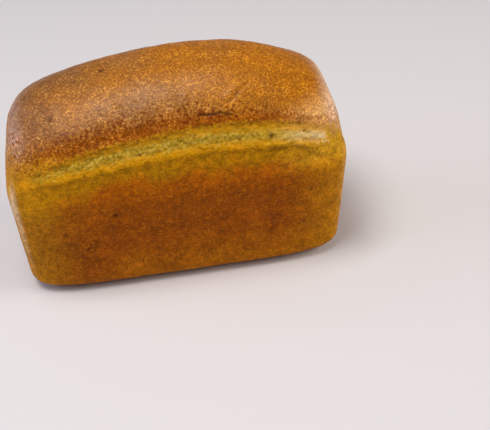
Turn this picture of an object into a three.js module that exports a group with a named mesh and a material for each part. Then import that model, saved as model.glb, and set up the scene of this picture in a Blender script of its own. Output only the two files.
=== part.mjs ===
/**
 * Rye loaf baked in an open tin: one piece of bread, crust and all.
 *
 * Millimetres, +Z up. The origin is the middle of the flat bottom, +X runs along the loaf
 * and +Y across it. The tin shaped the bottom and the sides. Above the tin the dough rose on
 * into a domed crown, and the crust tore open all round the foot of the crown. That torn
 * band is the shred: it lies a little deeper than the crust above and below it.
 */
import * as THREE from "three";
import { LoftGeometry } from "three/addons/geometries/LoftGeometry.js";

// Overall size, all of it reached by the crust itself.
const LENGTH = 220;
const WIDTH = 101;
const HEIGHT = 150;

// The part that the tin shaped, from the bottom up to the belly, where the loaf is widest.
// Squareness is the power of a rounded rectangle: 2 is an ellipse, and more is squarer.
const BELLY_HEIGHT = 77;
const END_DRAFT = 3; // each end leans in by this much between the belly and the bottom
const SIDE_DRAFT = 6;
const BOTTOM_EDGE_RADIUS = 12;
const BOTTOM_SQUARENESS = 6;
const BELLY_SQUARENESS = 7.2;
const KEEL_LENGTH = 140; // the line along the middle of the bottom where its faces meet

// The crown, from the belly up to its ridge, a line along the middle of the top.
const RIDGE_SHARE = 0.6; // the crown's length at its very top, as a share of the loaf's
const RIDGE_SQUARENESS = 2.8; // the crown's outline, seen from above, gets rounder upwards
const ROUNDING_SPEED = 1.5; // how soon on the way up it has got that round
const SIDE_FULLNESS = 2.5; // 2 is a round arch across the loaf, and more is fuller
const END_FULLNESS = 2.65;
const LEFT_DROP = 20; // how far the crown's top comes down towards each end
const RIGHT_DROP = 17;
const DROP_POWER = 1.9;
const RIDGE_START = 0.999; // the share of the crown's height whose length the ridge takes

// The shred's two edges, as shares of the crown's height: it arches up along each side.
const SHRED_FOOT = { middle: 0.51, end: 0.31 };
const SHRED_HEAD = { middle: 0.7, end: 0.42 };
const SHRED_DEPTH = 1.5; // under the crown's torn lip; it runs out to nothing at the foot
const LIP_SHARE = 0.02; // the height of the crown's torn lip

// How finely the surface is divided.
const COLUMNS_PER_SIDE = 40;
const EDGE_ROWS = 5;
const SIDE_ROWS = 4;
const SHOULDER_ROWS = 3;
const SHRED_ROWS = 3;
const DOME_ROWS = 10;

const RIGHT_ANGLE = Math.PI / 2;
const { lerp } = THREE.MathUtils;

/** The point of a rounded rectangle in a direction, which is a cosine and a sine. */
function outlinePoint(direction, halfLength, halfWidth, squareness) {
  const { x, y } = direction;
  const reach = (Math.abs(x) ** squareness + Math.abs(y) ** squareness) ** (-1 / squareness);
  return new THREE.Vector2(halfLength * x * reach, halfWidth * y * reach);
}

/** A point on the tin-shaped part, at a height between the bottom and the belly. */
function tinPoint(direction, height) {
  const share = height / BELLY_HEIGHT;
  const rise = BOTTOM_EDGE_RADIUS - Math.min(height, BOTTOM_EDGE_RADIUS);
  const inset = BOTTOM_EDGE_RADIUS - Math.sqrt(BOTTOM_EDGE_RADIUS ** 2 - rise ** 2);
  const { x, y } = outlinePoint(
    direction,
    LENGTH / 2 - END_DRAFT * (1 - share) - inset,
    WIDTH / 2 - SIDE_DRAFT * (1 - share) - inset,
    lerp(BOTTOM_SQUARENESS, BELLY_SQUARENESS, share),
  );
  return new THREE.Vector3(x, y, height);
}

/** How high the crown's ridge stands above the belly at a distance along the loaf. */
function crownHeight(x) {
  const drop = x < 0 ? LEFT_DROP : RIGHT_DROP;
  return HEIGHT - BELLY_HEIGHT - drop * (Math.abs(x) / (LENGTH / 2)) ** DROP_POWER;
}

/** A point on the crown: share runs from 0 at the belly to 1 at the ridge. */
function crownPoint(direction, share, inset = 0) {
  const left = 1 - share ** SIDE_FULLNESS;
  const turn = Math.asin(share ** (SIDE_FULLNESS / 2)) / RIGHT_ANGLE;
  const { x, y } = outlinePoint(
    direction,
    (LENGTH / 2) * lerp(RIDGE_SHARE, 1, left ** (1 / END_FULLNESS)) - inset,
    (WIDTH / 2 - inset) * left ** (1 / SIDE_FULLNESS),
    lerp(BELLY_SQUARENESS, RIDGE_SQUARENESS, Math.min(1, turn * ROUNDING_SPEED)),
  );
  return new THREE.Vector3(x, y, BELLY_HEIGHT + crownHeight(x) * share);
}

/** A point on the ridge, where the crown's two sides meet. */
function ridgePoint(direction) {
  const { x } = crownPoint(direction, RIDGE_START);
  return new THREE.Vector3(x, 0, BELLY_HEIGHT + crownHeight(x));
}

/** Where an edge of the shred lies in a direction, as a share of the crown's height. */
function shredEdge(edge, direction) {
  const along = outlinePoint(direction, 1, 1, BELLY_SQUARENESS).x;
  return lerp(edge.middle, edge.end, along ** 2);
}

/** Half of a ring round the loaf, from its +X end over its +Y side to its -X end. */
class HalfRing extends THREE.Curve {
  constructor(pointInDirection) {
    super();
    this.pointInDirection = pointInDirection;
  }

  getPoint(t, target = new THREE.Vector3()) {
    const angle = t * Math.PI;
    const direction = new THREE.Vector2(Math.cos(angle), Math.sin(angle));
    return target.copy(this.pointInDirection(direction));
  }
}

/** A whole ring of evenly spaced points: its near half mirrors its far half. */
function ring(pointInDirection) {
  const half = new HalfRing(pointInDirection);
  const far = steps(0, 1, COLUMNS_PER_SIDE).map((u) => half.getPointAt(u + 0.5 / COLUMNS_PER_SIDE));
  const near = far.map((p) => new THREE.Vector3(p.x, -p.y, p.z));
  return [...far, ...near.reverse()];
}

/** Evenly spaced numbers from one value up to, but not including, another. */
function steps(from, to, count) {
  return Array.from({ length: count }, (_, i) => lerp(from, to, i / count));
}

/** The rings of the bottom and the tin-shaped part, up to just below the belly. */
function tinRings() {
  const keel = (d) => new THREE.Vector3((KEEL_LENGTH / 2) * d.x, 0, 0);
  const edge = steps(0, RIGHT_ANGLE, EDGE_ROWS).map((a) => BOTTOM_EDGE_RADIUS * (1 - Math.cos(a)));
  const side = steps(BOTTOM_EDGE_RADIUS, BELLY_HEIGHT, SIDE_ROWS);
  return [keel, ...[...edge, ...side].map((height) => (d) => tinPoint(d, height))];
}

/** The rings between the belly and the shred's foot, which bend more and more with it. */
function shoulderRings() {
  return steps(0, 1, SHOULDER_ROWS).map((t) => (d) => crownPoint(d, t * shredEdge(SHRED_FOOT, d)));
}

/** The rings of the shred, each deeper than the one below. */
function shredRings() {
  return [...steps(0, 1, SHRED_ROWS), 1].map((t) => (d) => {
    const share = lerp(shredEdge(SHRED_FOOT, d), shredEdge(SHRED_HEAD, d), t);
    return crownPoint(d, share, SHRED_DEPTH * t);
  });
}

/** The rings of the dome, from the torn lip above the shred up to the ridge. */
function domeRings() {
  const power = SIDE_FULLNESS / 2;
  const dome = steps(0, 1, DOME_ROWS).map((t) => (d) => {
    const lip = Math.asin((shredEdge(SHRED_HEAD, d) + LIP_SHARE) ** power);
    return crownPoint(d, Math.sin(lerp(lip, RIGHT_ANGLE, t)) ** (1 / power));
  });
  return [...dome, ridgePoint];
}

/** The whole loaf as one closed body, which meets itself along the keel and the ridge. */
function makeLoaf() {
  const rings = [...tinRings(), ...shoulderRings(), ...shredRings(), ...domeRings()];
  const crust = new THREE.MeshStandardMaterial({ color: 0x9c6426, roughness: 0.6, metalness: 0 });
  const loaf = new THREE.Mesh(new LoftGeometry(rings.map(ring)), crust);
  loaf.name = "loaf";
  return loaf;
}

const object = new THREE.Group();
object.add(makeLoaf());

export default object;
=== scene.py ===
"""Rye loaf baked in an open tin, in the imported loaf's own frame.

The loaf is one piece of bread. Its shape follows a rule: a tin's straight sides below, a
domed crown above, and a torn band, the shred, all round the foot of the crown. The classes
work in millimetres, and metres appear only where a mesh, a light or the camera is made.
"""

import logging
import math
from dataclasses import dataclass, field
from enum import Enum
from typing import Callable

import bpy
import numpy as np
from mathutils import Matrix, Vector


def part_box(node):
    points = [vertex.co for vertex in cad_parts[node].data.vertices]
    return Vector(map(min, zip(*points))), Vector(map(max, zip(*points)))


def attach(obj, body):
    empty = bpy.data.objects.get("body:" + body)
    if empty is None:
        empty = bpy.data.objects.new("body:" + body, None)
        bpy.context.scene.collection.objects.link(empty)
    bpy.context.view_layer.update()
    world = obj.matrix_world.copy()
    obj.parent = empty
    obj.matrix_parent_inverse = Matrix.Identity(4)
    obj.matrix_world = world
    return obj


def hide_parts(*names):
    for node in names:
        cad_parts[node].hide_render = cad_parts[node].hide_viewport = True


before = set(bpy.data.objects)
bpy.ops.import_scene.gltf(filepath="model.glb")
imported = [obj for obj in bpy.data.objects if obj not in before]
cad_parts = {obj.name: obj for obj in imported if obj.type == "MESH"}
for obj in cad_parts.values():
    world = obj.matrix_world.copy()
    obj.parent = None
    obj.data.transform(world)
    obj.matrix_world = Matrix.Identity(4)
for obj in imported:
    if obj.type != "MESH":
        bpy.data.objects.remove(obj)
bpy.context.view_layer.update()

LOG = logging.getLogger("rye_loaf")
MM = 0.001
PER_METRE = 1000.0
RIGHT_ANGLE = math.pi / 2
TINY = 1e-9

Grid = np.ndarray
Numbers = np.ndarray | float
PointRule = Callable[[Grid], Grid]
Tree = bpy.types.NodeTree
Node = bpy.types.Node
Socket = bpy.types.NodeSocket
Sockets = bpy.types.bpy_prop_collection
Feed = Node | Socket | float | str | tuple | None

# Two numbers that belong together, as the name or the comment beside them says.
Pair = tuple[float, float]
# From one number to another. Lengths are in millimetres, and noise runs from 0 to 1.
Span = tuple[float, float]
# As a value runs from the first number to the second, the third becomes the fourth.
Slope = tuple[float, float, float, float]


def linear(hex_colour: str) -> tuple[float, float, float, float]:
    """Turns an sRGB hex colour into the linear colour that a shader socket takes.

    Args:
        hex_colour: Six hex digits after a hash, such as "#b4762b".

    Returns:
        Red, green, blue and an alpha of 1.
    """
    parts = [int(hex_colour[i : i + 2], 16) / 255 for i in (1, 3, 5)]
    bent = [p / 12.92 if p <= 0.04045 else ((p + 0.055) / 1.055) ** 2.4 for p in parts]
    return (*bent, 1.0)


MATH = "ShaderNodeMath"
MIX = "ShaderNodeMix"
NOISE = "ShaderNodeTexNoise"
RANGE = "ShaderNodeMapRange"
VECTOR = "ShaderNodeVectorMath"
SOFT = {"interpolation_type": "SMOOTHSTEP"}
COLOURS = {"data_type": "RGBA"}

# How many times over a noise is laid on itself at half the size.
BROAD_DETAIL = 2.0
DETAIL = 3.0
FINE_DETAIL = 4.0


def add_node(
    tree: Tree,
    kind: str,
    *values: Feed,
    named: dict[str, Feed] | None = None,
    stops: list[tuple[float, str]] | None = None,
    **settings: object,
) -> Node:
    """Adds one node to a tree, sets it up and links it.

    Args:
        tree: The node tree of a material, a world or a geometry modifier.
        kind: The node's type name.
        *values: What the node's inputs take, in order: a value, or a node or socket to link.
        named: The same for inputs given by name.
        stops: A colour ramp's stops, each a place from 0 to 1 and a hex colour.
        **settings: The node's own properties.

    Returns:
        The new node.
    """
    node = tree.nodes.new(kind)
    for name, value in settings.items():
        setattr(node, name, value)
    open_inputs = [socket for socket in node.inputs if socket.enabled]
    by_name = [(node.inputs[name], value) for name, value in (named or {}).items()]
    for socket, value in [*zip(open_inputs, values), *by_name]:
        if isinstance(value, Node):
            value = next(output for output in value.outputs if output.enabled)
        if isinstance(value, Socket):
            tree.links.new(value, socket)
        elif value is not None:
            socket.default_value = value
    if stops:
        ramp = node.color_ramp
        while len(ramp.elements) < len(stops):
            ramp.elements.new(0.5)
        for element, (place, colour) in zip(ramp.elements, stops):
            element.position = place
            element.color = linear(colour)
    return node


def all_of(tree: Tree, *slopes: tuple[Socket | Node, Slope]) -> Node:
    """How far all of several soft slopes have risen, as their product.

    Args:
        tree: The tree to add to.
        *slopes: What each slope reads, and the slope.

    Returns:
        The product, which is high only where every slope is.
    """
    shares = [add_node(tree, RANGE, source, *slope, **SOFT) for source, slope in slopes]
    product = shares[0]
    for share in shares[1:]:
        product = add_node(tree, MATH, product, share, operation="MULTIPLY")
    return product


def painted(tree: Tree, base: Node, coats: list[tuple[Node, str]]) -> Node:
    """Lays colours over a base one after another, each as thickly as its share.

    Args:
        tree: The tree to add to.
        base: The colour underneath.
        coats: Each coat's share, 0 to 1, and its hex colour.

    Returns:
        The last coat's node.
    """
    for share, colour in coats:
        base = add_node(tree, MIX, share, base, linear(colour), **COLOURS)
    return base


def smooth(low: Numbers, high: Numbers, value: Numbers) -> Numbers:
    """A soft step that is 0 below low and 1 above high."""
    share = np.clip((value - low) / (high - low), 0, 1)
    return share * share * (3 - 2 * share)


def mix(start: Numbers, end: Numbers, share: Numbers) -> Numbers:
    """A value part of the way from start to end."""
    return start + (end - start) * share


# ---------------------------------------------------------------------------------------
# Shape
# ---------------------------------------------------------------------------------------


class Field(Enum):
    """The names of the numbers kept at each of the loaf's points, in millimetres."""

    ABOVE_HEAD = "above_head"
    ABOVE_FOOT = "above_foot"
    TEAR = "tear"
    CREASE = "crease_shade"
    HOLLOW = "hollow"


class MarkKind(Enum):
    """What a single mark on the crust is; the value is how much painted shade darkens it, 0 to 1."""

    BLISTER = 0.0
    FOLD = 0.17
    PIT = 0.95
    CRACK = 0.6


@dataclass(frozen=True)
class CrustMark:
    """One mark that the bake left on the crust, round or drawn out along a line."""

    kind: MarkKind
    path: tuple[tuple[float, float, float], ...]
    radius: float
    height: float

    def nearness(self, points: Grid) -> Grid:
        """How near each point is to the mark: 1 on it, falling to 0 by three radii.

        Args:
            points: An array of points, in millimetres.

        Returns:
            One number for each point.
        """
        spots = on_surface(np.array(self.path, dtype=float), points)
        best = np.full(points.shape[:-1], np.inf)
        for start, end in zip(spots, [*spots[1:], spots[-1]]):
            run = end - start
            along = ((points - start) @ run) / max(run @ run, TINY)
            foot = start + np.clip(along, 0, 1)[..., None] * run
            best = np.minimum(best, np.linalg.norm(points - foot, axis=-1))
        return np.exp(-((best / self.radius) ** 2))


def on_surface(spots: Grid, points: Grid) -> Grid:
    """Moves each spot to the nearest of the surface's points."""
    cloud = points.reshape(-1, 3)
    return np.array([cloud[np.argmin(((cloud - spot) ** 2).sum(axis=1))] for spot in spots])


@dataclass(frozen=True)
class ShredEdge:
    """One edge of the torn band, as shares of the crown's height above the belly."""

    near: float
    far: float
    left_end: float
    right_end: float
    ripple: float
    long_waves: tuple[int, int]
    flatness: float = 3.2  # 2 is a parabola, and more keeps the edge level for longer

    def share(self, along: Grid, nearness: Grid, ripple: Grid) -> Grid:
        """Where the edge lies.

        Args:
            along: Place along the loaf, 0 where the band is highest, -1 and 1 at its ends.
            nearness: 1 on the near side, 0 on the far side.
            ripple: The band's waviness, about -1 to 1.

        Returns:
            The edge's share of the crown's height.
        """
        middle = mix(self.far, self.near, nearness)
        end = np.where(along < 0, self.left_end, self.right_end)
        return mix(middle, end, np.abs(along) ** self.flatness) + self.ripple * ripple


@dataclass
class LoafShape:
    """The loaf's smooth shape, as rings of points from the bottom up to the ridge."""

    length: float
    width: float
    height: float

    belly_height: float = 77.0
    rim_height: float = 84.0
    end_draft: float = 1.7
    side_draft: float = 7.0
    bottom_edge_radius: float = 13.0
    bottom_squareness: float = 6.0
    belly_squareness: float = 7.2
    keel_length: float = 140.0

    top_length_share: float = 0.615
    top_squareness: float = 2.8
    rounding_speed: float = 1.5
    side_fullness: float = 2.5
    end_fullness: float = 2.65
    left_drop: float = 20.0
    right_drop: float = 17.0
    drop_power: float = 1.9
    sway: float = 1.6
    sway_span: float = 77.0
    sway_start: float = -3.0
    sway_fade: Span = (80.0, 100.0)
    ridge_start: float = 0.9997

    foot: ShredEdge = ShredEdge(
        near=0.45, far=0.44, left_end=0.32, right_end=0.35, ripple=0.016, long_waves=(3, 12)
    )
    head: ShredEdge = ShredEdge(
        near=0.645, far=0.61, left_end=0.43, right_end=0.49, ripple=0.022, long_waves=(5, 14)
    )
    shred_peak: float = 50.0  # the distance along the loaf where the band is highest
    side_turn: float = 0.3  # the sine by which the band's near height has become its far one
    ripple_shares: Pair = (0.6, 0.4)  # of its long waves and its short ones
    short_waves: tuple[int, int] = (40, 95)
    ripple_fall: float = 0.7  # how fast its waves get lower as they get shorter

    # Each tear opens between its first two distances along the loaf and closes over the rest.
    near_tear: tuple[float, float, float, float] = (-106.0, -72.0, 82.0, 106.0)
    far_tear: tuple[float, float, float, float] = (-84.0, -58.0, 56.0, 90.0)
    shred_depth: float = 1.3
    shred_foot_share: float = 0.3  # how much of that depth it has at its foot
    shred_foot_bend: Span = (0.0, 4.5)
    shred_head_bend: Span = (-4.0, 1.5)
    lip_height: float = 0.5
    lip_rise: float = 2.2
    lip_width: float = 2.2
    foot_roll: float = 1.0
    foot_drop: float = 1.2
    foot_width: float = 2.0

    rim_ledge: float = 0.5
    ledge_width: float = 5.0
    ledge_share: float = 0.3  # how much of the ledge is left at the middle of the loaf
    rim_neck: float = 1.0
    neck_foot: Span = (3.0, 8.0)
    neck_head: Span = (14.0, 28.0)
    rim_ends: Span = (0.45, 0.95)  # shares of half the loaf's length
    marks: tuple[CrustMark, ...] = ()

    columns: int = 512
    bottom_rows: int = 7
    edge_rows: int = 8
    side_rows: int = 42
    shoulder_rows: int = 27
    shred_rows: int = 22
    dome_rows: int = 80
    dome_spacing: float = 1.12  # over 1 crowds the rows towards the torn edge
    ring_samples: int = 8  # for each column, when a ring's points are spaced evenly
    seed: int = 11

    def outline(
        self, angle: Grid, half_length: Numbers, half_width: Numbers, square: Numbers
    ) -> Grid:
        """Points of a rounded rectangle.

        Args:
            angle: Directions, in radians.
            half_length: Half its length along X.
            half_width: Half its width along Y.
            square: Its squareness: 2 is an ellipse, and more is squarer.

        Returns:
            The points' X and Y.
        """
        c, s = np.cos(angle), np.sin(angle)
        reach = (np.abs(c) ** square + np.abs(s) ** square) ** (-1 / square)
        return np.stack([half_length * c * reach, half_width * s * reach], axis=-1)

    def tin_points(self, angle: Grid, height: float) -> Grid:
        """The tin-shaped part at one height.

        Args:
            angle: Directions, in radians.
            height: The height, between the bottom and the belly.

        Returns:
            The points.
        """
        share = height / self.belly_height
        radius = self.bottom_edge_radius
        inset = radius - math.sqrt(radius**2 - (radius - min(height, radius)) ** 2)
        flat = self.outline(
            angle,
            self.length / 2 - self.end_draft * (1 - share) - inset,
            self.width / 2 - self.side_draft * (1 - share) - inset,
            mix(self.bottom_squareness, self.belly_squareness, share),
        )
        return np.concatenate([flat, np.full((len(angle), 1), height)], axis=-1)

    def crown_points(self, angle: Grid, share: Grid) -> Grid:
        """The crown at some share of its height.

        Args:
            angle: Directions, in radians.
            share: Shares of the crown's height, 0 at the belly and 1 at the ridge.

        Returns:
            The points.
        """
        left = 1 - share**self.side_fullness
        turn = np.arcsin(share ** (self.side_fullness / 2)) / RIGHT_ANGLE
        rounding = np.minimum(1, turn * self.rounding_speed)
        flat = self.outline(
            angle,
            self.length / 2 * mix(self.top_length_share, 1, left ** (1 / self.end_fullness)),
            self.width / 2 * left ** (1 / self.side_fullness),
            mix(self.belly_squareness, self.top_squareness, rounding),
        )
        top = self.crown_height(flat[:, 0])
        return np.concatenate([flat, (self.belly_height + top * share)[:, None]], axis=-1)

    def crown_height(self, x: Grid) -> Grid:
        """How high the ridge stands above the belly.

        Args:
            x: Distances along the loaf.

        Returns:
            One height for each distance.
        """
        drop = np.where(x < 0, self.left_drop, self.right_drop)
        sway = self.sway * np.sin(math.pi * (x - self.sway_start) / self.sway_span)
        top = self.height - self.belly_height + sway * (1 - smooth(*self.sway_fade, np.abs(x)))
        return top - drop * np.abs(2 * x / self.length) ** self.drop_power

    def ripple(self, angle: Grid, first: int, last: int) -> Grid:
        """A smooth waviness round the loaf, about -1 to 1.

        Args:
            angle: Directions, in radians.
            first: The fewest waves round the loaf.
            last: The most waves round the loaf.

        Returns:
            One number for each direction.
        """
        dice = np.random.default_rng(self.seed + first)
        total = np.zeros_like(angle)
        for waves in range(first, last + 1):
            swing = dice.normal()
            start = dice.uniform(0, 2 * math.pi)
            total += swing * np.sin(waves * angle + start) / waves**self.ripple_fall
        return total / max(np.abs(total).max(), TINY)

    def edge_share(self, edge: ShredEdge, angle: Grid) -> Grid:
        """Where an edge of the torn band lies.

        Args:
            edge: The edge.
            angle: Directions, in radians.

        Returns:
            The edge's share of the crown's height in each direction.
        """
        x = self.outline(angle, self.length / 2, 1, self.belly_squareness)[:, 0]
        half, peak = self.length / 2, self.shred_peak
        reach = np.where(x < peak, half + peak, half - peak)
        nearness = smooth(-self.side_turn, self.side_turn, -np.sin(angle))
        first, last = edge.long_waves
        big, small = self.ripple_shares
        waves = big * self.ripple(angle, first, last) + small * self.ripple(angle, *self.short_waves)
        return edge.share((x - peak) / reach, nearness, waves)

    def rules(self) -> list[PointRule]:
        """What makes the rings, from the middle of the bottom up to the ridge.

        Returns:
            One rule for each ring, which gives the ring's points in given directions.
        """
        radius, belly = self.bottom_edge_radius, self.belly_height
        bottom = [
            lambda a, t=t: mix(self.keel_points(a), self.tin_points(a, 0), t)
            for t in np.linspace(0, 1, self.bottom_rows, endpoint=False)
        ]
        turns = np.linspace(0, RIGHT_ANGLE, self.edge_rows, endpoint=False)
        side = np.linspace(radius, belly, self.side_rows, endpoint=False)
        tin = [lambda a, h=h: self.tin_points(a, h) for h in [*radius * (1 - np.cos(turns)), *side]]
        shoulder = [
            lambda a, t=t: self.crown_points(a, t * self.edge_share(self.foot, a))
            for t in np.linspace(0, 1, self.shoulder_rows, endpoint=False)
        ]
        shred = [
            lambda a, t=t: self.crown_points(
                a, mix(self.edge_share(self.foot, a), self.edge_share(self.head, a), t)
            )
            for t in np.linspace(0, 1, self.shred_rows, endpoint=False)
        ]
        dome = [
            lambda a, t=t: self.crown_points(a, self.dome_share(a, t))
            for t in np.linspace(0, 1, self.dome_rows, endpoint=False) ** self.dome_spacing
        ]
        return [*bottom, *tin, *shoulder, *shred, *dome, self.ridge_points]

    def keel_points(self, angle: Grid) -> Grid:
        """The line along the middle of the bottom where its faces meet."""
        return np.stack([self.keel_length / 2 * np.cos(angle), 0 * angle, 0 * angle], axis=-1)

    def dome_share(self, angle: Grid, step: float) -> Grid:
        """Where a ring of the dome lies, in even turns from the torn edge up to the ridge.

        Args:
            angle: Directions, in radians.
            step: 0 at the torn band's upper edge and 1 at the ridge.

        Returns:
            The ring's share of the crown's height in each direction.
        """
        power = self.side_fullness / 2
        start = np.arcsin(self.edge_share(self.head, angle) ** power)
        return np.sin(mix(start, RIGHT_ANGLE, step)) ** (1 / power)

    def ridge_points(self, angle: Grid) -> Grid:
        """The ridge, where the crown's two sides meet."""
        x = self.crown_points(angle, np.full_like(angle, self.ridge_start))[:, 0]
        return np.stack([x, 0 * x, self.belly_height + self.crown_height(x)], axis=-1)

    def even_ring(self, rule: PointRule) -> Grid:
        """A ring's points, evenly spaced round each of its halves.

        Args:
            rule: Gives the ring's points in given directions.

        Returns:
            The ring's points.
        """
        angle = np.linspace(0, 2 * math.pi, self.ring_samples * self.columns + 1)
        steps = np.linalg.norm(np.diff(rule(angle), axis=0), axis=1)
        run = np.concatenate([[0], np.cumsum(steps)])
        half = np.searchsorted(angle, math.pi)
        places = (np.arange(self.columns // 2) + 0.5) / (self.columns // 2)
        far = np.interp(places * run[half], run[: half + 1], angle[: half + 1])
        near = np.interp(run[half] + places * (run[-1] - run[half]), run[half:], angle[half:])
        return rule(np.concatenate([far, near]))

    def points_and_fields(self) -> tuple[Grid, dict[Field, Grid]]:
        """The loaf's points with the torn band and the marks worked in.

        Returns:
            Points by row and column, and for each field one number at each point.
        """
        rings = np.stack([self.even_ring(rule) for rule in self.rules()])
        climb = np.cumsum(np.linalg.norm(np.diff(rings, axis=0, prepend=rings[:1]), axis=2), axis=0)
        foot_row = self.bottom_rows + self.edge_rows + self.side_rows + self.shoulder_rows
        above_foot = climb - climb[foot_row]
        above_head = climb - climb[foot_row + self.shred_rows]
        tear = self.tear(rings)
        relief = tear * self.band_relief(above_foot, above_head) + self.rim_relief(rings)
        # How much painted shade each mark lays in its hollow.
        crease_shade = np.zeros_like(relief)
        for mark in self.marks:
            nearness = mark.nearness(rings)
            relief += mark.height * nearness
            crease_shade = np.maximum(crease_shade, mark.kind.value * nearness)
        points = rings + outward(rings) * relief[..., None]
        points[..., 2] = np.maximum(points[..., 2], 0)
        fields = {
            Field.ABOVE_HEAD: above_head,
            Field.ABOVE_FOOT: above_foot,
            Field.TEAR: tear,
            Field.CREASE: crease_shade,
        }
        return points, fields

    def tear(self, rings: Grid) -> Grid:
        """Where the band tore open.

        Args:
            rings: The smooth loaf's points.

        Returns:
            For each point 1 along the loaf's sides, falling to 0 round its ends.
        """
        x, far = rings[..., 0], rings[..., 1] > 0
        spans = np.where(far[..., None], self.far_tear, self.near_tear)
        left, open_left, open_right, right = np.moveaxis(spans, -1, 0)
        return smooth(left, open_left, x) * (1 - smooth(open_right, right, x))

    def band_relief(self, above_foot: Grid, above_head: Grid) -> Grid:
        """How far the torn band lies in, and the rolls of crust along its two edges stand out.

        Args:
            above_foot: Each point's distance above the band's lower edge.
            above_head: Its distance above the upper edge.

        Returns:
            How far each point moves outwards.
        """
        in_band = smooth(*self.shred_foot_bend, above_foot)
        torn = in_band * (1 - smooth(*self.shred_head_bend, above_head))
        up = np.clip(above_foot / np.maximum(above_foot - above_head, TINY), 0, 1)
        lip = self.lip_height * np.exp(-(((above_head - self.lip_rise) / self.lip_width) ** 2))
        roll = self.foot_roll * np.exp(-(((above_foot + self.foot_drop) / self.foot_width) ** 2))
        return lip + roll - self.shred_depth * torn * mix(self.shred_foot_share, 1, up)

    def rim_relief(self, rings: Grid) -> Grid:
        """The dough that swelled over the tin's rim, and the neck above it at the right end.

        Args:
            rings: The smooth loaf's points.

        Returns:
            How far each point moves outwards.
        """
        over = rings[..., 2] - self.rim_height
        along = rings[..., 0] / (self.length / 2)
        swell = mix(self.ledge_share, 1, smooth(*self.rim_ends, np.abs(along)))
        ledge = self.rim_ledge * np.exp(-((over / self.ledge_width) ** 2)) * swell
        neck = self.rim_neck * smooth(*self.neck_foot, over) * (1 - smooth(*self.neck_head, over))
        return ledge - neck * smooth(*self.rim_ends, along)


def outward(rings: Grid) -> Grid:
    """The outward direction at each point of a stack of closed rings.

    Args:
        rings: Points by row and column.

    Returns:
        One unit vector for each point.
    """
    round_loaf = np.roll(rings, -1, axis=1) - np.roll(rings, 1, axis=1)
    up = np.gradient(rings, axis=0)
    across = np.cross(round_loaf, up)
    size = np.linalg.norm(across, axis=-1, keepdims=True)
    return across / np.maximum(size, TINY)


def closed_mesh(name: str, points: Grid, fields: dict[Field, Grid]) -> bpy.types.Mesh:
    """Skins a stack of rings whose first and last ring are each folded onto a line.

    Args:
        name: The mesh's name.
        points: Points by row and column, in millimetres.
        fields: For each field one number at each point.

    Returns:
        A closed mesh, in metres, with the fields as point attributes.
    """
    rows, columns = points.shape[:2]
    number = np.arange(rows * columns).reshape(rows, columns)
    for row in (0, rows - 1):
        number[row] = np.minimum(number[row], number[row][::-1])
    low, high = number[:-1], number[1:]
    quads = np.stack([low, np.roll(low, -1, 1), np.roll(high, -1, 1), high], axis=-1)
    faces = [list(dict.fromkeys(quad)) for quad in quads.reshape(-1, 4).tolist()]
    used, slim = np.unique(np.concatenate([np.array(f) for f in faces]), return_inverse=True)
    sizes = np.cumsum([0] + [len(f) for f in faces])
    slim_faces = [slim[a:b].tolist() for a, b in zip(sizes, sizes[1:])]
    mesh = bpy.data.meshes.new(name)
    mesh.from_pydata((points.reshape(-1, 3)[used] * MM).tolist(), [], slim_faces)
    for kind, values in fields.items():
        layer = mesh.attributes.new(kind.value, "FLOAT", "POINT")
        layer.data.foreach_set("value", values.reshape(-1)[used].astype(np.float32))
    mesh.update()
    return mesh


# ---------------------------------------------------------------------------------------
# Fine relief
# ---------------------------------------------------------------------------------------


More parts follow.
